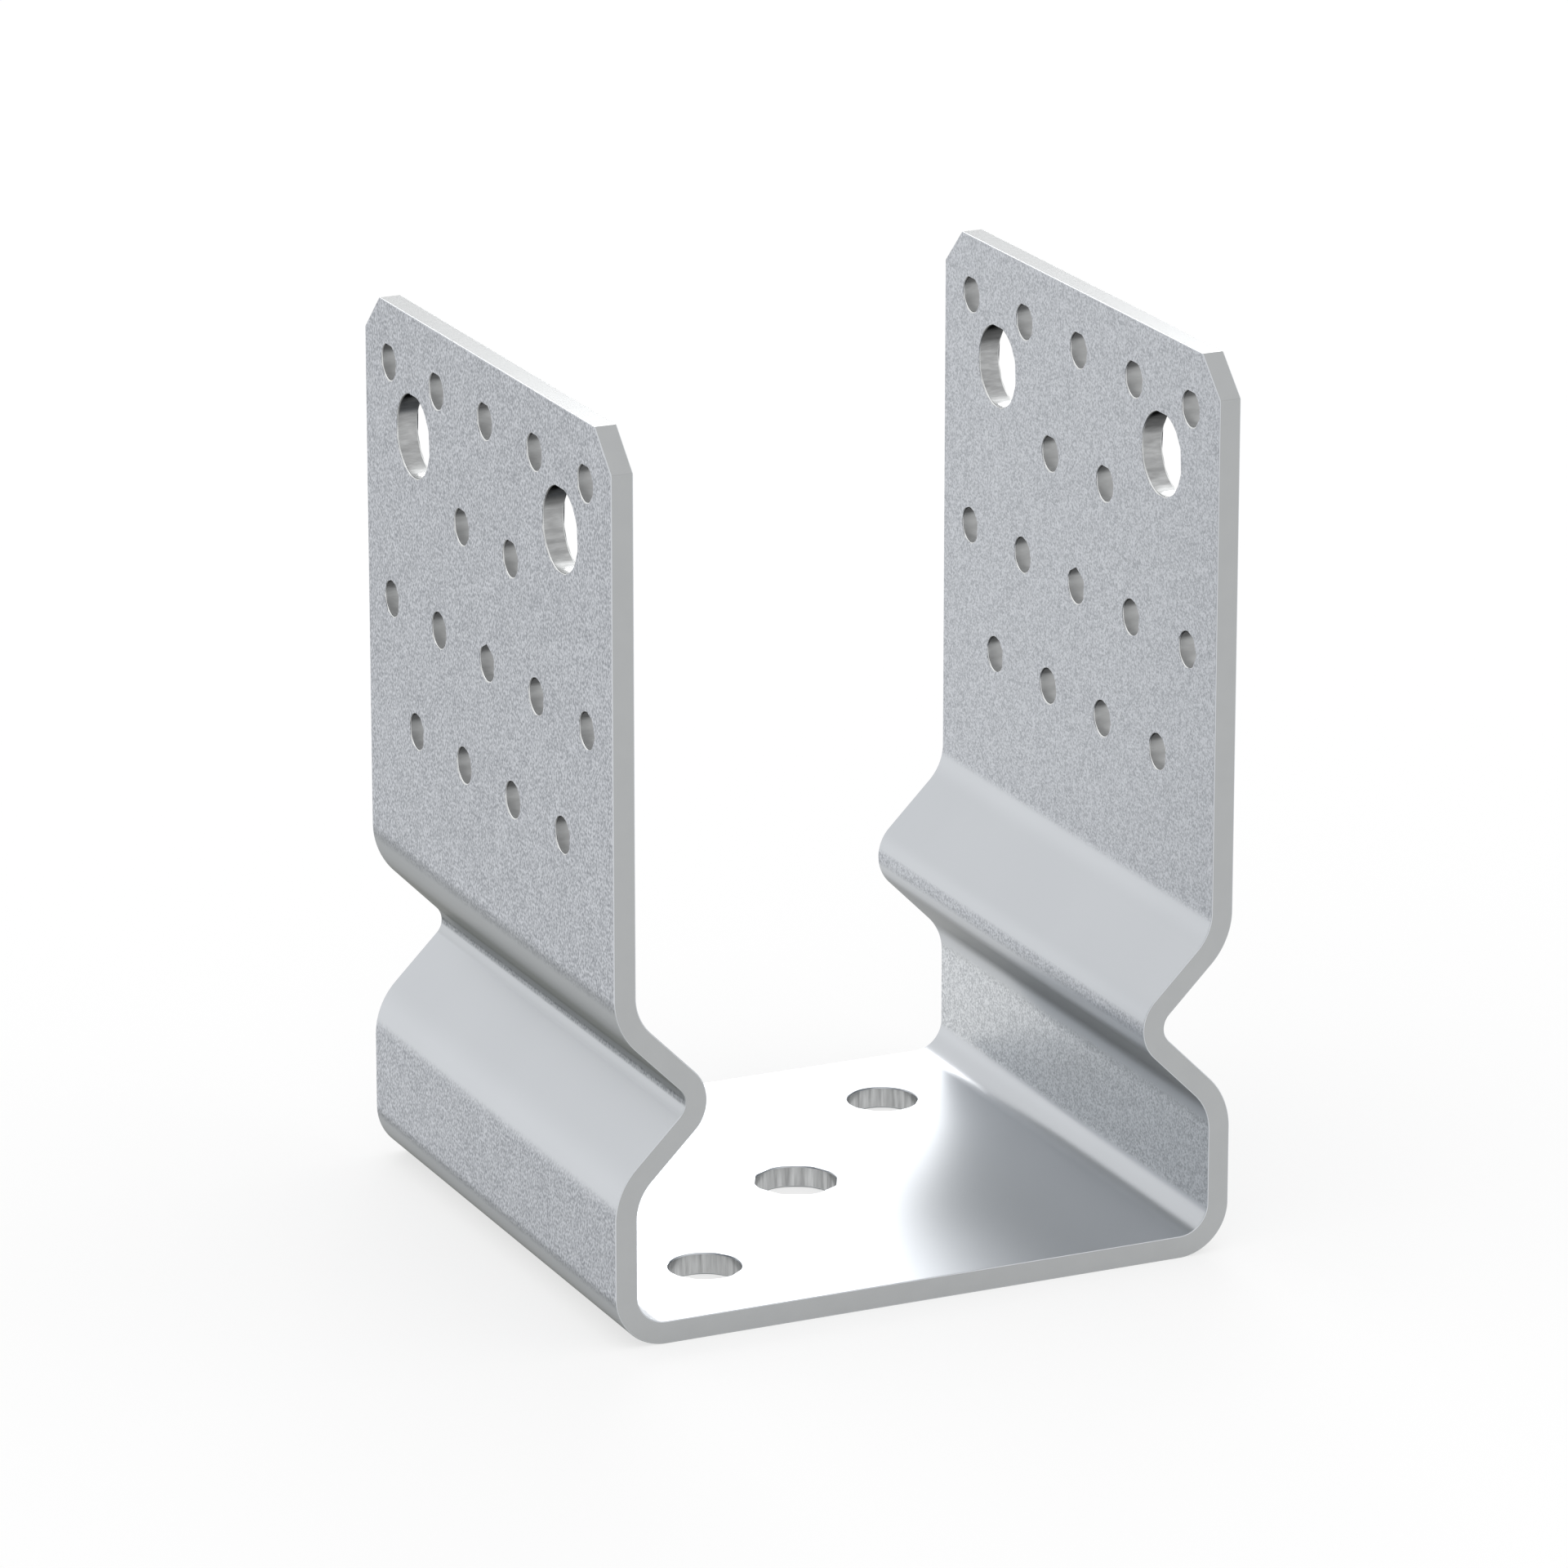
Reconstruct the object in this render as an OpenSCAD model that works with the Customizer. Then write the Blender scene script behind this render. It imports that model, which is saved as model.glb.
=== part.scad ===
// Post base: one strip of galvanised steel sheet folded to a U, with a V bead across each leg.
// Origin at the middle of the underside of the base, legs up along +Z, clear width along X.

/* [Main sizes] */
// Clear width between the legs
inside_w = 81; // [71:1:121]
// Width of the sheet strip, front to back
strip_w = 80; // [64:1:128]
// Height over all
height = 120; // [110:1:200]
// Corner cut at the top of each leg
corner_cut = 5; // [1:0.5:7]

/* [Sheet] */
// Thickness of the steel sheet
sheet_t = 3; // [2:0.5:4]
// Inside radius of the bends between base and legs
bend_r = 4; // [2:0.5:5]

/* [Bead across each leg] */
// Height of the bead's fold line above the underside
bead_z = 32; // [28:1:36]
// How far the bead stands in from the leg's inner face
bead_depth = 9.7; // [7:0.1:12]
// Slope of the bead's flanks away from the leg
bead_angle = 45; // [35:1:50]
// Inside radius of the bends where the bead leaves the leg
shoulder_r = 7; // [4:0.5:8]
// Inside radius of the bead's fold
fold_r = 2.5; // [1.5:0.5:4]

/* [Holes in the legs] */
// Spacing of the nail holes, along a row and from row to row
pitch = 16; // [14:0.5:18]
// Least distance from a nail hole's centre to the sheet's edge
edge_gap = 8; // [7:0.5:9]
// Nail hole diameter
nail_d = 4.7; // [4:0.1:6]
// Bolt hole diameter
bolt_d = 11; // [9:0.5:13]

/* [Holes in the base] */
// Diameter of the hole in the middle
anchor_d = 11; // [9:0.5:14]
// Diameter of the two holes on the diagonal
screw_d = 9.5; // [6:0.5:12]
// Distance of the two diagonal holes from the middle, along each edge
screw_offset = 24; // [16:1:25]

/* [Hidden] */
$fn = 96;

// How far a cutting shape runs past the sheet
past = 1;
// How much wider a bend is drawn than its flats need, so that their faces cross and don't just touch
lap = 0.0001;
outside_w = inside_w + 2 * sheet_t;
// Radii of the sheet's middle line in the bead's bends
shoulder_mid = shoulder_r + sheet_t / 2;
fold_mid = fold_r + sheet_t / 2;
// Length of each straight flank of the bead, and the bead's half height
round_depth = (shoulder_mid + fold_mid) * (1 - cos(bead_angle));
flank = (bead_depth - round_depth) / sin(bead_angle);
bead_half = (shoulder_mid + fold_mid) * sin(bead_angle) + flank * cos(bead_angle);
// Straight runs of the sheet's middle line
base_run = inside_w / 2 - bend_r;
lower_run = bead_z - bead_half - sheet_t - bend_r;
upper_run = height - bead_z - bead_half;

// One half of the sheet from the middle of the base to the top of a leg.
// Each step is a straight run, then a bend: [run, turn to the left, inside radius].
half_sheet = [
    [base_run, 90, bend_r],
    [lower_run, bead_angle, shoulder_r],
    [flank, -2 * bead_angle, fold_r],
    [flank, bead_angle, shoulder_r],
    [upper_run, 0, 0],
];

// Nail holes in a full row, and in each row from the top down. An exact fit counts as a fit.
full_row = floor((strip_w - 2 * edge_gap) / pitch + 0.001) + 1;
nail_rows = [full_row, full_row - 3, full_row, full_row - 1];
top_row_z = height - edge_gap;
// The two bolt holes lie half a pitch below the top row, between its last two holes
bolt_y = (full_row - 2) / 2 * pitch;
bolt_z = top_row_z - pitch / 2;

// Point at a distance from the origin, at an angle to the left of the -Y axis
function polar(angle, d) = d * [sin(angle), -cos(angle)];

// How far a flat runs on into a bend, to where their middle lines cross
function reach(r) = sqrt(2 * lap * (r + sheet_t / 2));

// Ring sector of a bend about the origin, from the -Y axis round to the left
module bend_sector(turn, r) {
    over = atan(reach(r) / (r + sheet_t / 2));
    far = 2 * (r + sheet_t);
    intersection() {
        difference() {
            circle(r + sheet_t + lap);
            circle(r + lap);
        }
        polygon([[0, 0], polar(-over, far), polar(turn / 2, 2 * far), polar(turn + over, far)]);
    }
}

// Bend at the end of a run that heads along +X, to the right if the turn is negative.
// Children are placed at the bend's far end.
module bend(turn, r) {
    mid = r + sheet_t / 2;
    side = turn < 0 ? 1 : 0;
    mirror([0, side])
        translate([0, mid]) {
            bend_sector(abs(turn), r);
            rotate(abs(turn))
                translate([0, -mid])
                    mirror([0, side])
                        children();
        }
}

// Sheet of even thickness along a list of runs and bends, from the origin along +X
module sheet_path(steps, i = 0, back = 0) {
    run = steps[i][0];
    turn = steps[i][1];
    r = steps[i][2];
    ahead = turn == 0 ? 0 : reach(r);
    translate([-back, -sheet_t / 2])
        square([back + run + ahead, sheet_t]);
    if (turn != 0)
        translate([run, 0])
            bend(turn, r)
                sheet_path(steps, i + 1, ahead);
}

// Cross-section of the folded sheet, X across and Y up
module section() {
    for (side = [0, 1])
        mirror([side, 0])
            translate([0, sheet_t / 2])
                sheet_path(half_sheet);
}

// Outline of a leg seen from the side, with its two top corners cut off
module leg_outline() {
    y = strip_w / 2;
    z = height;
    c = corner_cut;
    polygon([[-y, 0], [y, 0], [y, z - c], [y - c, z], [c - y, z], [-y, z - c]]);
}

// The folded strip before its holes are punched
module folded_strip() {
    intersection() {
        rotate([90, 0, 0])
            linear_extrude(strip_w, center = true)
                section();
        rotate([90, 0, 90])
            linear_extrude(outside_w + 2 * past, center = true)
                leg_outline();
    }
}

// Bore through both legs at one place
module leg_bore(d, y, z) {
    translate([0, y, z])
        rotate([0, 90, 0])
            cylinder(d = d, h = outside_w + 2 * past, center = true);
}

// Nail holes row by row, each row centred on the leg, and the two bolt holes
module leg_holes() {
    for (row = [0 : len(nail_rows) - 1])
        for (i = [1 : 1 : nail_rows[row]])
            leg_bore(nail_d, (i - (nail_rows[row] + 1) / 2) * pitch, top_row_z - row * pitch);
    for (side = [-1, 1])
        leg_bore(bolt_d, side * bolt_y, bolt_z);
}

// Bore down through the base at one place
module base_bore(d, x, y) {
    translate([x, y, -past])
        cylinder(d = d, h = sheet_t + 2 * past);
}

// Middle hole and the two holes on the diagonal
module base_holes() {
    base_bore(anchor_d, 0, 0);
    for (side = [-1, 1])
        base_bore(screw_d, side * screw_offset, side * screw_offset);
}

module post_base() {
    color([0.72, 0.74, 0.76])
        difference() {
            folded_strip();
            leg_holes();
            base_holes();
        }
}

post_base();
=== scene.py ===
"""Post base: the folded galvanised sheet with its rolled, bent and cut surfaces, on a plain pale floor."""
from math import atan2, cos, pi, radians, sin, tan

import bpy
import numpy as np
from mathutils import Matrix, Vector, geometry


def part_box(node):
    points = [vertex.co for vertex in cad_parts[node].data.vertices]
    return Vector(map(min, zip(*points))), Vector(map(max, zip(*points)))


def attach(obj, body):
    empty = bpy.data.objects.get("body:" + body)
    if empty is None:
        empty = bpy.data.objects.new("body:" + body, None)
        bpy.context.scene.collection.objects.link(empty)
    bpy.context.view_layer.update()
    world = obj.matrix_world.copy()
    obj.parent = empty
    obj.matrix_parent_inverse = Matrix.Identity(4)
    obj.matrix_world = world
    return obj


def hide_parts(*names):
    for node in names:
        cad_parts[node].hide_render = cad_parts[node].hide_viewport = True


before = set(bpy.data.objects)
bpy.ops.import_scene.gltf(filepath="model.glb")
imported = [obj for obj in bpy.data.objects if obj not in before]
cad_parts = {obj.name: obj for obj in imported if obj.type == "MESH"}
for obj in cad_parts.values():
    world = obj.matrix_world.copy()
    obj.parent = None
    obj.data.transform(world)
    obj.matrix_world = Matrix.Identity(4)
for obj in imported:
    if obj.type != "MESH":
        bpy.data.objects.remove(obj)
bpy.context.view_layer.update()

# Sizes of the sheet, in metres. The overall ones come from the frame, the others are those of part.scad.
MM = 0.001
low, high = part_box("post_base")
OUTSIDE_W = high[0] - low[0]
STRIP_W = high[1] - low[1]
HEIGHT = high[2] - low[2]
SHEET_T = 3 * MM
BEND_R = 4 * MM
BEAD_Z = 32 * MM
BEAD_DEPTH = 9.7 * MM
BEAD_ANGLE = radians(45)
SHOULDER_R = 7 * MM
FOLD_R = 2.5 * MM
CORNER_CUT = 5 * MM
PITCH = 16 * MM
EDGE_GAP = 8 * MM
NAIL_D = 4.7 * MM
BOLT_D = 11 * MM
ANCHOR_D = 11 * MM
SCREW_D = 9.5 * MM
SCREW_OFFSET = 24 * MM

# Rounding of the edges, and fineness of the visual sheet
OUTLINE_ROUND = 0.12 * MM
HOLE_ROUND = 0.22 * MM
ROUND_STEPS = 6
CORNER_ROUND = 0.35 * MM
CORNER_STEPS = 3
BEND_STEP = radians(2)
HOLE_STEP = 0.20 * MM
# Least number of a hole's sides, and the number that they're a multiple of, so that its quarters are alike
SIDES_LEAST = 24
SIDES_UNIT = 8
# Least distance along the strip from the corner cuts to a point on its long sides
CUT_CLEAR = 0.5 * MM
# Distances below these count as none: in metres, and in the millimetres of the flat strip
SAME = 1e-9
SAME_FLAT = 1e-7

# Slots of the sheet's materials, in the order of sheet_materials()
ROLLED, SHEARED, PUNCHED, DRILLED, RIM, BORED = range(6)

# Tilt off upright up to which a face keeps the whole rolled grain, and at which it has none
GRAIN_FULL = radians(5)
GRAIN_ENDS = radians(13)
# Share of the grain on the faces inside the U
INSIDE_GRAIN = 0.8

# Painted shade on faces that look down, by the downward part of their normal, outside and inside the U
PAINTED_SHADE_AT = [0.0, 0.13, 0.38, 0.50, 0.61, 0.71, 0.90, 1.0]
PAINTED_SHADE_OUT = [0.0, 0.36, 0.46, 0.62, 0.84, 1.0, 1.0, 0.6]
PAINTED_SHADE_IN = [0.0, 0.10, 0.20, 0.36, 0.50, 0.60, 0.60, 0.50]

# Painted shade in the groove's bottom, by the downward tilt of its face in degrees
CREASE_SHADE_AT = [-45, -38, -15, -7, 0, 15, 22, 30, 45]
CREASE_SHADE = [0.0, 0.3, 0.3, 0.85, 1.0, 1.0, 0.9, 0.4, 0.0]

# Cells of the noise patterns in a metre
FINE_GRAIN = 3200
BROAD_GRAIN = 520
CLOUDS = 45
SHEARED_MARKS = 300
HOLE_MARKS = 1400
# Stretch of the fine grain, outside and inside the U. A smaller number draws it out further.
GRAIN_OUT = (1.0, 1.0, 0.78)
GRAIN_IN = (1.1, 1.1, 1.05)
# How much the broad grain shifts the fine one, and how much lighter the grain is inside the U, as painted
# light
BROAD_SHIFT = 0.07
INSIDE_PAINTED_LIGHT = 0.02
# Depth and strength of the grain's relief
GRAIN_BUMP = 0.01 * MM
BUMP_STRENGTH = 0.3

# Colours of the zinc, dark and light
GRAIN_TONES = [(0.33, (0.268, 0.284, 0.310)), (0.67, (0.583, 0.604, 0.640))]
SMOOTH_TONES = [(0.3, (0.600, 0.622, 0.650)), (0.7, (0.615, 0.637, 0.665))]
SHEARED_TONES = [(0.3, (0.413, 0.423, 0.427)), (0.7, (0.425, 0.435, 0.439))]
SHEARED_ROUGH = 0.095

# Painted light on the lowest flats inside the U, painted dull olive shade on faces that look down, and
# painted shade in the groove's bottom
LOWEST_PAINTED_LIGHT = (1.28, 1.27, 1.23)
PAINTED_SHADE_TINT = (0.34, 0.347, 0.306)
CREASE_SHADE_TINT = (0.62, 0.63, 0.62)
# Heights between which the lowest flats' painted light fades out
LOWEST_FROM = 20 * MM
LOWEST_TO = 26 * MM
# Brightness of the rolled faces' reflection at grazing angles, lowered by the painted shade
ROLLED_EDGE = [(0.0, 1.0), (0.35, 0.65), (0.65, 0.5), (1.0, 0.1)]
# Painted shade from which a face is less metallic, and how metallic a face in full painted shade is
PAINTED_SHADE_DULLS = 0.3
PAINTED_SHADE_METAL = 0.5
# Roughness of smooth and of grained metal, and what full painted shade and lying level add to it
SMOOTH_ROUGH = 0.30
GRAIN_ROUGH = 0.36
PAINTED_SHADE_ROUGH = 0.12
LEVEL_ROUGH = 0.10
# Lean above which a face begins to count as level
LEVEL_FROM = 0.98

# Tone of the holes' walls and rims, by their lean: 0 faces down, 0.5 is upright, 1 faces up. Painted shade
# where they face down, painted highlight where they face up, as on the rims and the bolt holes' bottoms.
NAIL_TONES = [(0.0, 0.20), (0.24, 0.22), (0.36, 0.46), (0.5, 0.50), (0.75, 0.46), (1.0, 0.54)]
BOLT_TONES = [
    (0.0, 0.10), (0.28, 0.14), (0.39, 0.40), (0.5, 0.44),
    (0.69, 0.51), (0.80, 0.41), (0.94, 0.52), (0.97, 0.95),
]
RIM_TONES = [(0.0, 0.12), (0.28, 0.18), (0.40, 0.45), (0.5, 0.64), (0.75, 0.68), (0.86, 0.95), (1.0, 0.95)]
DRILL_TONES = [(0.0, 0.60), (1.0, 0.68)]
# Red, green and blue shares of such a tone
HOLE_TINT = (0.985, 1.0, 1.003)
# Brightness of the holes' reflection at grazing angles, by lean, lowered as painted shade where they face
# down
HOLE_EDGE = [(0.25, 0.25), (0.4, 1.0)]
# Range of the marks' noise, from a mark to clean metal, and what a mark adds to the roughness
MARK_FULL = 0.3
MARK_NONE = 0.7
MARK_ROUGH = 0.03

# Floor: radius, sides, brightness, and the share of plain white that the camera and the metal see in it
FLOOR_R = 4.0
FLOOR_SIDES = 96
FLOOR_TONE = 0.95
FLOOR_WHITE = 0.68

# Brightness of the world by height, from the horizon to the top
SKY_LEVELS = [(0.0, 0.96), (0.07, 0.95), (0.20, 0.90), (0.40, 0.84), (0.70, 0.90), (1.0, 0.98)]
SKY_STRENGTH = 1.09

# Point that the lamp faces
MIDDLE = (0, 0, 60 * MM)

# Camera, solved from the photograph's edges and hole rims
CAM_AZ = radians(-24.6876)
CAM_EL = radians(17.6763)
CAM_ROLL = radians(0.0041)
CAM_DIST = 1160.221 * MM
CAM_SIDE = 1.581 * MM
CAM_UP = -55.296 * MM
SENSOR_W = 36
PHOTO_W = 1920
FOCAL_PX = 10726.055
CAM_NEAR = 0.05
CAM_FAR = 50


def half_sheet():
    """Runs and bends of one half of the sheet: [run, turn to the left, inside radius]."""
    shoulder_mid = SHOULDER_R + SHEET_T / 2
    fold_mid = FOLD_R + SHEET_T / 2
    round_depth = (shoulder_mid + fold_mid) * (1 - cos(BEAD_ANGLE))
    flank = (BEAD_DEPTH - round_depth) / sin(BEAD_ANGLE)
    bead_half = (shoulder_mid + fold_mid) * sin(BEAD_ANGLE) + flank * cos(BEAD_ANGLE)
    return [
        [OUTSIDE_W / 2 - SHEET_T - BEND_R, pi / 2, BEND_R],
        [BEAD_Z - bead_half - SHEET_T - BEND_R, BEAD_ANGLE, SHOULDER_R],
        [flank, -2 * BEAD_ANGLE, FOLD_R],
        [flank, BEAD_ANGLE, SHOULDER_R],
        [HEIGHT - BEAD_Z - bead_half, 0, 0],
    ]


def stations():
    """Points along the right half of the sheet's middle line: (s, x, z, heading)."""
    s, x, z, heading = 0.0, 0.0, SHEET_T / 2, 0.0
    out = [(s, x, z, heading)]
    for run, turn, inside in half_sheet():
        s, x, z = s + run, x + run * cos(heading), z + run * sin(heading)
        out.append((s, x, z, heading))
        if not turn:
            continue
        radius = inside + SHEET_T / 2
        side = 1 if turn > 0 else -1
        cx, cz = x - side * radius * sin(heading), z + side * radius * cos(heading)
        steps = round(abs(turn) / BEND_STEP)
        s0, h0 = s, heading
        for i in range(1, steps + 1):
            heading = h0 + turn * i / steps
            s = s0 + radius * abs(turn) * i / steps
            x, z = cx + side * radius * sin(heading), cz - side * radius * cos(heading)
            out.append((s, x, z, heading))
    return out


# The whole middle line, from the top of the left leg to the top of the right one
RIGHT = stations()
S_END = RIGHT[-1][0]
PATH = [(-s, -x, z, -h) for s, x, z, h in reversed(RIGHT[1:])] + RIGHT
PATH_S, PATH_X, PATH_Z, PATH_H = np.array(PATH).T


def place(s, y, n, out_s, out_y, out_n):
    """Folds points of the flat strip (along, across, through) and their normals into the part's frame."""
    x, z, h = (np.interp(s, PATH_S, v) for v in (PATH_X, PATH_Z, PATH_H))
    tx, tz = np.cos(h), np.sin(h)
    points = np.stack([x - n * tz, y, z + n * tx], 1)
    normals = np.stack([out_s * tx - out_n * tz, out_y, out_s * tz + out_n * tx], 1)
    return points, normals


def fold_span():
    """Start and end along the strip of the bead's fold, on the right half."""
    s = 0.0
    for run, turn, inside in half_sheet():
        s += run
        arc = abs(turn) * (inside + SHEET_T / 2)
        if turn < 0:
            return s, s + arc
        s += arc


def leg_s(side, z):
    """Distance along the strip of a height on a leg's upper flat."""
    return side * (S_END - HEIGHT + z)


def hole_list():
    """Every hole: its centre along and across the strip, its radius, and the slots of its wall and rim."""
    top = HEIGHT - EDGE_GAP
    # Holes in a full row, where an exact fit counts as a fit
    full = int((STRIP_W - 2 * EDGE_GAP) / PITCH + 0.01) + 1
    rows = [full, full - 3, full, full - 1]
    out = [(0.0, 0.0, ANCHOR_D / 2, DRILLED, ROLLED)]
    for side in (-1, 1):
        out.append((side * SCREW_OFFSET, side * SCREW_OFFSET, SCREW_D / 2, DRILLED, ROLLED))
        for row, count in enumerate(rows):
            for i in range(count):
                y = (i - (count - 1) / 2) * PITCH
                out.append((leg_s(side, top - row * PITCH), y, NAIL_D / 2, PUNCHED, RIM))
        for end in (-1, 1):
            y = end * (full - 2) / 2 * PITCH
            out.append((leg_s(side, top - PITCH / 2), y, BOLT_D / 2, BORED, RIM))
    return out


def outline():
    """The strip's edge, counter-clockwise, as (s, y, outward s, outward y), with its corners eased."""
    half = STRIP_W / 2
    cut_s = S_END - CORNER_CUT
    cut_y = half - CORNER_CUT
    corners = [(cut_s, -half), (S_END, -cut_y), (S_END, cut_y), (cut_s, half)]
    corners += [(-s, -y) for s, y in corners]
    sides = [s for s in PATH_S if abs(s) < cut_s - CUT_CLEAR]
    out = []
    for i, (s, y) in enumerate(corners):
        before = Vector((s, y)) - Vector(corners[i - 1])
        after = Vector(corners[(i + 1) % len(corners)]) - Vector((s, y))
        turn = before.angle(after)
        along = before.normalized()
        start = Vector((s, y)) - along * (CORNER_ROUND * tan(turn / 2))
        centre = start + Vector((-along.y, along.x)) * CORNER_ROUND
        first = atan2(-along.x, along.y)
        for k in range(CORNER_STEPS + 1):
            a = first + turn * k / CORNER_STEPS
            out.append((centre.x + CORNER_ROUND * cos(a), centre.y + CORNER_ROUND * sin(a), cos(a), sin(a)))
        # The long sides follow the fourth corner and the last one
        if i % 4 == 3:
            side = 1 if y > 0 else -1
            out += [(q, side * half, 0.0, float(side)) for q in sorted(sides, reverse=side == 1)]
    return out


def hole_sides(r):
    """Number of sides of a hole, by its radius."""
    return max(SIDES_LEAST, SIDES_UNIT * round(2 * pi * r / HOLE_STEP / SIDES_UNIT))


def edge_list(holes):
    """Every closed edge: points (s, y, outward s, outward y), rounding, and the slots of its wall and rim."""
    out = [(np.array(outline()), OUTLINE_ROUND, SHEARED, ROLLED)]
    for s, y, r, wall, rim in holes:
        count = hole_sides(r)
        a = -np.arange(count) * 2 * pi / count
        ring = np.stack([s + r * np.cos(a), y + r * np.sin(a), -np.cos(a), -np.sin(a)], 1)
        out.append((ring, HOLE_ROUND, wall, rim))
    return out


def cross_lines(ring):
    """Pairs of the outline's points that face each other across the strip. They keep the bends in bands."""
    # Number of each point by its place along the strip, in millimetres, rounded so that both sides match
    front, back = {}, {}
    for i, (s, y, _, out_y) in enumerate(ring):
        if abs(out_y) == 1.0 and abs(abs(y) - STRIP_W / 2) < SAME:
            side = back if y > 0 else front
            side[round(s / MM, 5)] = i
    return [(i, front[s]) for s, i in back.items() if s in front]


def flat_triangles(edges, holes):
    """Triangles that fill a face of the flat strip, as numbers of the edges' points, counted edge by edge."""
    flat, pairs = [], []
    for ring, ease, _, _ in edges:
        start, count = len(flat), len(ring)
        flat += [tuple(p / MM) for p in ring[:, :2] - ease * ring[:, 2:]]
        pairs += [(start + i, start + (i + 1) % count) for i in range(count)]
    pairs += cross_lines(edges[0][0])
    corners = [Vector(p) for p in flat]
    verts, _, tris, source, _, _ = geometry.delaunay_2d_cdt(corners, pairs, [], 1, SAME_FLAT)
    assert len(verts) == len(flat), "the flat strip's points were merged or crossed"
    flat = np.array(flat)
    tri = np.array([[source[v][0] for v in t] for t in tris])
    mid = flat[tri].mean(1)
    bores = np.array([hole[:3] for hole in holes]) / MM
    off_bore = np.hypot(mid[:, None, 0] - bores[:, 0], mid[:, None, 1] - bores[:, 1])
    a, b, c = (flat[tri[:, k]] for k in range(3))
    area = (b[:, 0] - a[:, 0]) * (c[:, 1] - a[:, 1]) - (b[:, 1] - a[:, 1]) * (c[:, 0] - a[:, 0])
    tri[area < 0] = tri[area < 0][:, ::-1]
    return tri[np.all(off_bore > bores[:, 2], axis=1)]


def rim_rings():
    """Rings round an edge, from the U's inner face (1) to its outer one (-1): (face, angle off the wall)."""
    angles = [pi / 2 * k / ROUND_STEPS for k in range(ROUND_STEPS + 1)]
    return [(1, a) for a in reversed(angles)] + [(-1, a) for a in angles]


def surface_values(normals, along):
    """What the materials read at each vertex, from its normal and its signed distance along the strip."""
    outside = along < 0
    down = -normals[:, 2]
    upright = (np.abs(normals[:, 0]) - cos(GRAIN_ENDS)) / (cos(GRAIN_FULL) - cos(GRAIN_ENDS))
    grain = np.clip(upright, 0, 1) * np.where(outside, 1.0, INSIDE_GRAIN)
    # Painted shade on faces that look down, outside and inside the U
    shade_out, shade_in = (np.interp(down, PAINTED_SHADE_AT, v) for v in (PAINTED_SHADE_OUT, PAINTED_SHADE_IN))
    first, last = fold_span()
    # Painted shade in the groove's bottom
    in_groove = (-along > first) & (-along < last)
    tilt = np.degrees(np.arctan2(down, np.abs(normals[:, 0])))
    return {
        "grain": grain,
        "painted_shade": np.where(outside, shade_out, shade_in),
        "painted_crease_shade": np.where(in_groove, np.interp(tilt, CREASE_SHADE_AT, CREASE_SHADE), 0.0),
        "inside": np.where(outside, 0.0, 1.0),
        "lean": (1 + normals[:, 2]) / 2,
    }


def build_sheet():
    """One closed mesh of the folded sheet with eased edges and exact normals."""
    holes = hole_list()
    edges = edge_list(holes)
    rings = rim_rings()
    points, normals, along, faces, slots = [], [], [], [], []
    inner, outer = [], []
    for ring, ease, wall, rim in edges:
        start, count = len(points), len(ring)
        for face, angle in rings:
            flat = ring[:, :2] - ease * (1 - cos(angle)) * ring[:, 2:]
            depth = face * (SHEET_T / 2 - ease + ease * sin(angle))
            out = ring[:, 2:] * cos(angle)
            p, q = place(flat[:, 0], flat[:, 1], depth, out[:, 0], out[:, 1], face * sin(angle))
            points += p.tolist()
            normals += q.tolist()
            # Distance from the middle of the base, below zero on the outside of the U
            along += (face * np.abs(flat[:, 0])).tolist()
        for k in range(len(rings) - 1):
            up = start + k * count
            down = up + count
            # Both angles are zero at the wall between the two rims
            slot = wall if rings[k][1] == rings[k + 1][1] else rim
            for i in range(count):
                j = (i + 1) % count
                faces.append((up + i, down + i, down + j, up + j))
                slots.append(slot)
        inner += range(start, start + count)
        outer += range(len(points) - count, len(points))
    for t in flat_triangles(edges, holes):
        faces.append(tuple(inner[v] for v in t))
        faces.append(tuple(outer[v] for v in reversed(t)))
        slots += [ROLLED, ROLLED]

    mesh = bpy.data.meshes.new("folded_sheet")
    mesh.from_pydata(points, [], faces)
    mesh.validate()
    mesh.polygons.foreach_set("material_index", slots)
    mesh.polygons.foreach_set("use_smooth", [True] * len(faces))
    mesh.normals_split_custom_set_from_vertices(normals)
    for name, values in surface_values(np.array(normals), np.array(along)).items():
        mesh.attributes.new(name, "FLOAT", "POINT").data.foreach_set("value", values)
    obj = bpy.data.objects.new("folded_sheet", mesh)
    bpy.context.scene.collection.objects.link(obj)
    return obj


def new_material(name):
    """An empty node material, its node tree and its shader."""
    mat = bpy.data.materials.new(name)
    mat.use_nodes = True
    tree = mat.node_tree
    tree.nodes.clear()
    out = tree.nodes.new("ShaderNodeOutputMaterial")
    shader = tree.nodes.new("ShaderNodeBsdfPrincipled")
    tree.links.new(shader.outputs["BSDF"], out.inputs["Surface"])
    return mat, tree, shader


def object_coord(tree):
    """The place on the piece, in metres."""
    return tree.nodes.new("ShaderNodeTexCoord").outputs["Object"]


def attribute(tree, name):
    """One of the sheet's surface values."""
    node = tree.nodes.new("ShaderNodeAttribute")
    node.attribute_name = name
    return node.outputs["Fac"]


def noise(tree, coord, scale, detail=2.0, rough=0.5):
    """A noise pattern from 0 to 1."""
    node = tree.nodes.new("ShaderNodeTexNoise")
    node.inputs["Scale"].default_value = scale
    node.inputs["Detail"].default_value = detail
    node.inputs["Roughness"].default_value = rough
    tree.links.new(coord, node.inputs["Vector"])
    return node.outputs["Fac"]


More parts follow.
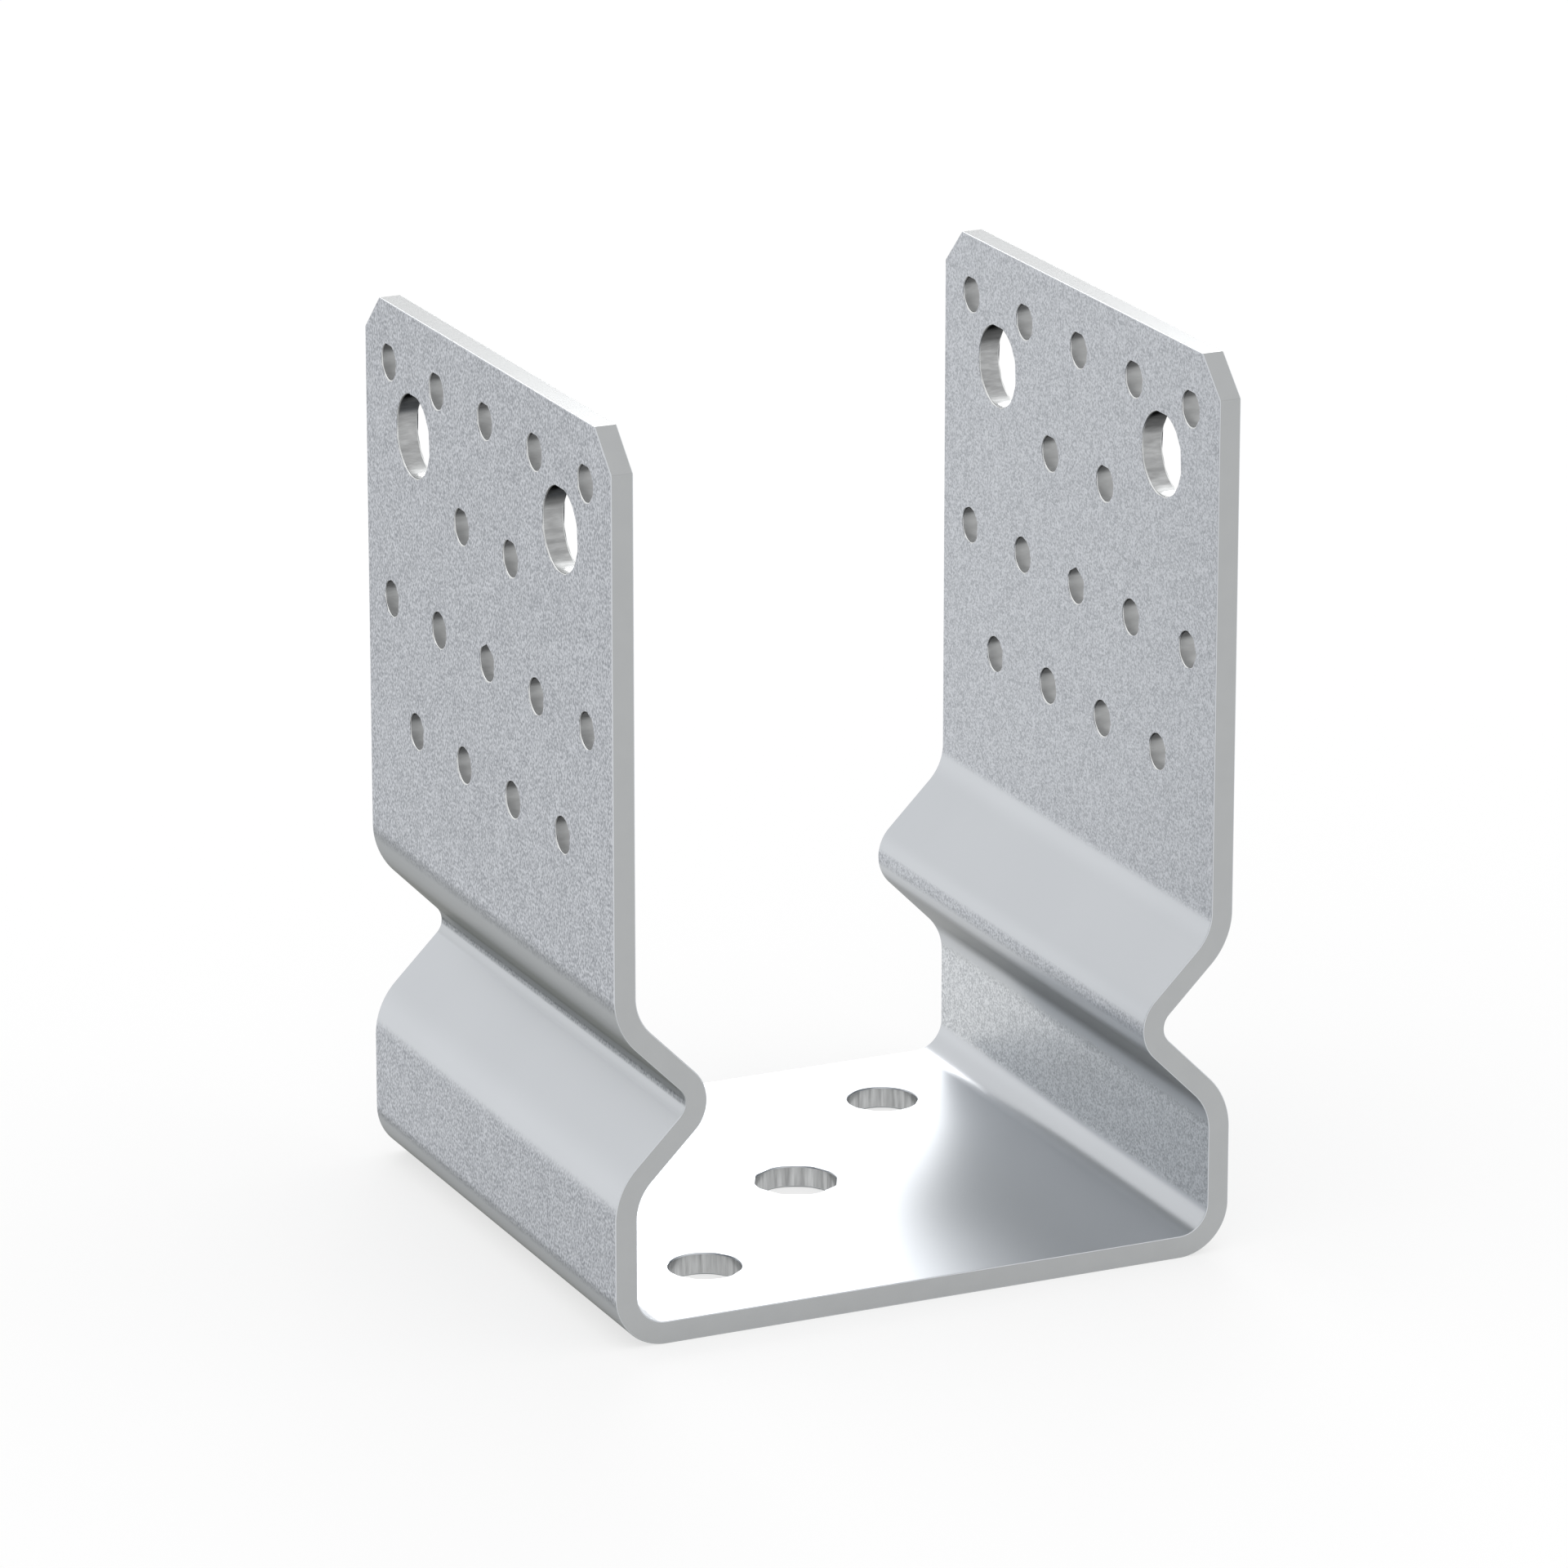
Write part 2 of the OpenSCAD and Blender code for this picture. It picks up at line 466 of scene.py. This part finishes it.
def ramp(tree, value, stops):
    """A colour for a value. A stop is (value, colour) or (value, grey)."""
    node = tree.nodes.new("ShaderNodeValToRGB")
    while len(node.color_ramp.elements) < len(stops):
        node.color_ramp.elements.new(0.5)
    for element, (pos, color) in zip(node.color_ramp.elements, stops):
        element.position = pos
        element.color = (*color, 1.0) if isinstance(color, tuple) else (color, color, color, 1.0)
    tree.links.new(value, node.inputs["Fac"])
    return node.outputs["Color"]


def remap(tree, value, low_in, high_in, low_out, high_out):
    """A value stretched from one range to another, and held at its ends."""
    node = tree.nodes.new("ShaderNodeMapRange")
    for name, v in zip(("From Min", "From Max", "To Min", "To Max"), (low_in, high_in, low_out, high_out)):
        node.inputs[name].default_value = v
    tree.links.new(value, node.inputs["Value"])
    return node.outputs["Result"]


def math_node(tree, operation, a, b):
    """Two numbers or sockets, joined by an operation."""
    node = tree.nodes.new("ShaderNodeMath")
    node.operation = operation
    for socket, v in zip(node.inputs, (a, b)):
        if isinstance(v, (int, float)):
            socket.default_value = v
        else:
            tree.links.new(v, socket)
    return node.outputs["Value"]


def mix_color(tree, fac, a, b, blend="MIX"):
    """Two colours or sockets, blended by a number or a socket."""
    node = tree.nodes.new("ShaderNodeMix")
    node.data_type = "RGBA"
    node.blend_type = blend
    for socket, v in ((node.inputs[0], fac), (node.inputs[6], a), (node.inputs[7], b)):
        if isinstance(v, (int, float)):
            socket.default_value = v
        elif isinstance(v, tuple):
            socket.default_value = (*v, 1.0)
        else:
            tree.links.new(v, socket)
    return node.outputs[2]


def tinted(tree, amount, tone, tint):
    """A tone that takes on a tint where the amount is 1."""
    return mix_color(tree, amount, tone, mix_color(tree, 1.0, tone, tint, "MULTIPLY"))


def stretch(tree, coord, scale):
    """The coordinate times a vector, given as a tuple or a socket."""
    node = tree.nodes.new("ShaderNodeVectorMath")
    node.operation = "MULTIPLY"
    tree.links.new(coord, node.inputs[0])
    if isinstance(scale, tuple):
        node.inputs[1].default_value = scale
    else:
        tree.links.new(scale, node.inputs[1])
    return node.outputs["Vector"]


def bump(tree, height, distance, strength):
    """A normal roughened by a height."""
    node = tree.nodes.new("ShaderNodeBump")
    node.inputs["Strength"].default_value = strength
    node.inputs["Distance"].default_value = distance
    tree.links.new(height, node.inputs["Height"])
    return node.outputs["Normal"]


def zinc_rolled():
    """Rolled face: fine dark grain on the flats, smooth metal where formed, dull olive painted shade where it
    looks down, painted shade in the groove's bottom and painted light on the lowest flats inside the U.
    """
    mat, tree, shader = new_material("zinc_rolled")
    coord = object_coord(tree)
    inside = attribute(tree, "inside")
    amount = attribute(tree, "grain")
    painted_shade = attribute(tree, "painted_shade")

    drawn_out = stretch(tree, coord, mix_color(tree, inside, GRAIN_OUT, GRAIN_IN))
    fine = noise(tree, drawn_out, FINE_GRAIN, detail=1.0)
    broad = noise(tree, coord, BROAD_GRAIN, detail=1.0)
    grain = math_node(tree, "ADD", fine, remap(tree, broad, 0.0, 1.0, -BROAD_SHIFT, BROAD_SHIFT))
    # Painted light: the grain is a little lighter inside the U
    grain = math_node(tree, "ADD", grain, math_node(tree, "MULTIPLY", inside, INSIDE_PAINTED_LIGHT))
    flat = ramp(tree, grain, GRAIN_TONES)
    smooth = ramp(tree, noise(tree, coord, CLOUDS), SMOOTH_TONES)
    tone = mix_color(tree, amount, smooth, flat)

    split = tree.nodes.new("ShaderNodeSeparateXYZ")
    tree.links.new(coord, split.inputs["Vector"])
    # Painted light on the lowest flats inside the U, where the grain is
    lowest = remap(tree, split.outputs["Z"], LOWEST_FROM, LOWEST_TO, 1.0, 0.0)
    painted_lift = math_node(tree, "MULTIPLY", math_node(tree, "MULTIPLY", inside, amount), lowest)
    tone = tinted(tree, painted_lift, tone, LOWEST_PAINTED_LIGHT)
    # Painted dull olive shade on faces that look down
    tone = tinted(tree, painted_shade, tone, PAINTED_SHADE_TINT)
    # Painted shade in the groove's bottom
    tone = tinted(tree, attribute(tree, "painted_crease_shade"), tone, CREASE_SHADE_TINT)
    tree.links.new(tone, shader.inputs["Base Color"])
    # The painted shade also dims the grazing reflection, makes the face less metallic and rougher
    tree.links.new(ramp(tree, painted_shade, ROLLED_EDGE), shader.inputs["Specular Tint"])
    tree.links.new(remap(tree, painted_shade, PAINTED_SHADE_DULLS, 1.0, 1.0, PAINTED_SHADE_METAL), shader.inputs["Metallic"])

    rough = remap(tree, amount, 0.0, 1.0, SMOOTH_ROUGH, GRAIN_ROUGH)
    rough = math_node(tree, "ADD", rough, remap(tree, painted_shade, 0.0, 1.0, 0.0, PAINTED_SHADE_ROUGH))
    level = remap(tree, attribute(tree, "lean"), LEVEL_FROM, 1.0, 0.0, LEVEL_ROUGH)
    tree.links.new(math_node(tree, "ADD", rough, level), shader.inputs["Roughness"])
    tree.links.new(bump(tree, fine, GRAIN_BUMP, BUMP_STRENGTH), shader.inputs["Normal"])
    return mat


def zinc_sheared():
    """Sheared edge of the strip: plain, with only a soft change of tone."""
    mat, tree, shader = new_material("zinc_sheared")
    soft = noise(tree, object_coord(tree), SHEARED_MARKS)
    tree.links.new(ramp(tree, soft, SHEARED_TONES), shader.inputs["Base Color"])
    shader.inputs["Roughness"].default_value = SHEARED_ROUGH
    shader.inputs["Metallic"].default_value = 1.0
    return mat


def zinc_hole(name, tones, streak, rough, metallic=1.0, along=(0.3, 1.0, 1.0)):
    """Wall or rim of a hole: a tone for each lean of the surface, painted shade facing down and painted
    highlight facing up, with streaks drawn out along the bore.
    """
    mat, tree, shader = new_material(name)
    lean = attribute(tree, "lean")
    marks = noise(tree, stretch(tree, object_coord(tree), along), HOLE_MARKS, rough=0.6)
    # Painted shade where the surface faces down and painted highlight where it faces up
    tone = ramp(tree, lean, [(at, tuple(v * share for share in HOLE_TINT)) for at, v in tones])
    shade = ramp(tree, marks, [(MARK_FULL, 1.0 - streak), (MARK_NONE, 1.0)])
    tree.links.new(mix_color(tree, 1.0, tone, shade, "MULTIPLY"), shader.inputs["Base Color"])
    rougher = remap(tree, marks, MARK_FULL, MARK_NONE, rough + MARK_ROUGH, rough)
    tree.links.new(rougher, shader.inputs["Roughness"])
    tree.links.new(ramp(tree, lean, HOLE_EDGE), shader.inputs["Specular Tint"])
    shader.inputs["Metallic"].default_value = metallic
    return mat


def sheet_materials():
    """The sheet's materials, in the order of their slots."""
    return [
        zinc_rolled(),
        zinc_sheared(),
        zinc_hole("zinc_punched", NAIL_TONES, streak=0.12, rough=0.30, metallic=0.5),
        zinc_hole("zinc_drilled", DRILL_TONES, streak=0.45, rough=0.20, along=(1.0, 1.0, 0.1)),
        zinc_hole("zinc_rim", RIM_TONES, streak=0.05, rough=0.20),
        zinc_hole("zinc_bored", BOLT_TONES, streak=0.30, rough=0.22),
    ]


def floor_material():
    """Pale matt floor that keeps the object's shadow. Camera and metal see it mixed with plain white."""
    mat, tree, shader = new_material("pale_floor")
    shader.inputs["Base Color"].default_value = (FLOOR_TONE, FLOOR_TONE, FLOOR_TONE, 1.0)
    shader.inputs["Roughness"].default_value = 1.0
    shader.inputs["Specular IOR Level"].default_value = 0.0
    white = tree.nodes.new("ShaderNodeEmission")
    white.inputs["Strength"].default_value = 1.0
    path = tree.nodes.new("ShaderNodeLightPath").outputs
    seen = math_node(tree, "MAXIMUM", path["Is Camera Ray"], path["Is Glossy Ray"])
    seen = math_node(tree, "MAXIMUM", seen, path["Is Transmission Ray"])
    mix = tree.nodes.new("ShaderNodeMixShader")
    tree.links.new(math_node(tree, "MULTIPLY", seen, FLOOR_WHITE), mix.inputs["Fac"])
    tree.links.new(shader.outputs["BSDF"], mix.inputs[1])
    tree.links.new(white.outputs["Emission"], mix.inputs[2])
    tree.links.new(mix.outputs["Shader"], tree.get_output_node("ALL").inputs["Surface"])
    return mat


def add_floor():
    """A round floor under the object, wide enough to fill the picture."""
    mesh = bpy.data.meshes.new("floor")
    angles = [2 * pi * i / FLOOR_SIDES for i in range(FLOOR_SIDES)]
    ring = [(FLOOR_R * cos(a), FLOOR_R * sin(a), 0.0) for a in angles]
    mesh.from_pydata(ring, [], [tuple(range(FLOOR_SIDES))])
    mesh.materials.append(floor_material())
    obj = bpy.data.objects.new("floor", mesh)
    bpy.context.scene.collection.objects.link(obj)
    return obj


def polar_place(azimuth, elevation, distance):
    """Point at an azimuth from +Y towards +X and a height above the horizon, in degrees from the origin."""
    a, e = radians(azimuth), radians(elevation)
    return Vector((distance * sin(a) * cos(e), distance * cos(a) * cos(e), distance * sin(e)))


def add_lamp(name, azimuth, elevation, distance, width, height, radiance, roll):
    """A rectangular soft lamp that shows as a surface of that radiance in the metal."""
    data = bpy.data.lights.new(name, "AREA")
    data.shape = "RECTANGLE"
    data.size = width
    data.size_y = height
    data.energy = radiance * pi * width * height
    obj = bpy.data.objects.new(name, data)
    bpy.context.scene.collection.objects.link(obj)
    obj.visible_camera = False
    at = polar_place(azimuth, elevation, distance)
    obj.location = at
    obj.rotation_euler = (Vector(MIDDLE) - at).to_track_quat("-Z", "Y").to_euler()
    obj.rotation_euler.rotate_axis("Z", radians(roll))
    return obj


def add_world():
    """A pale studio all round, a little dimmer half way up."""
    world = bpy.data.worlds.new("studio")
    bpy.context.scene.world = world
    world.use_nodes = True
    tree = world.node_tree
    tree.nodes.clear()
    out = tree.nodes.new("ShaderNodeOutputWorld")
    back = tree.nodes.new("ShaderNodeBackground")
    split = tree.nodes.new("ShaderNodeSeparateXYZ")
    tree.links.new(tree.nodes.new("ShaderNodeTexCoord").outputs["Generated"], split.inputs["Vector"])
    tree.links.new(ramp(tree, split.outputs["Z"], SKY_LEVELS), back.inputs["Color"])
    back.inputs["Strength"].default_value = SKY_STRENGTH
    tree.links.new(back.outputs["Background"], out.inputs["Surface"])


def add_camera():
    """The photograph's camera."""
    back = Vector((sin(CAM_AZ) * cos(CAM_EL), -cos(CAM_AZ) * cos(CAM_EL), sin(CAM_EL)))
    right = Vector((cos(CAM_AZ), sin(CAM_AZ), 0.0))
    up = back.cross(right)
    data = bpy.data.cameras.new("camera")
    data.lens = FOCAL_PX / PHOTO_W * SENSOR_W
    data.sensor_width = SENSOR_W
    data.clip_start = CAM_NEAR
    data.clip_end = CAM_FAR
    cam = bpy.data.objects.new("camera", data)
    bpy.context.scene.collection.objects.link(cam)
    r = right * cos(CAM_ROLL) + up * sin(CAM_ROLL)
    u = up * cos(CAM_ROLL) - right * sin(CAM_ROLL)
    at = back * CAM_DIST - right * CAM_SIDE - up * CAM_UP
    rows = [(r[k], u[k], back[k], at[k]) for k in range(3)]
    cam.matrix_world = Matrix((*rows, (0, 0, 0, 1)))
    bpy.context.scene.camera = cam


sheet = build_sheet()
for material in sheet_materials():
    sheet.data.materials.append(material)
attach(sheet, "root")
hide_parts("post_base")
add_floor()
add_world()
add_lamp("soft_back", 22, 25.05, distance=6.0, width=2.8, height=1.60, radiance=4.5, roll=6)
add_camera()
bpy.context.scene.view_settings.view_transform = "Standard"
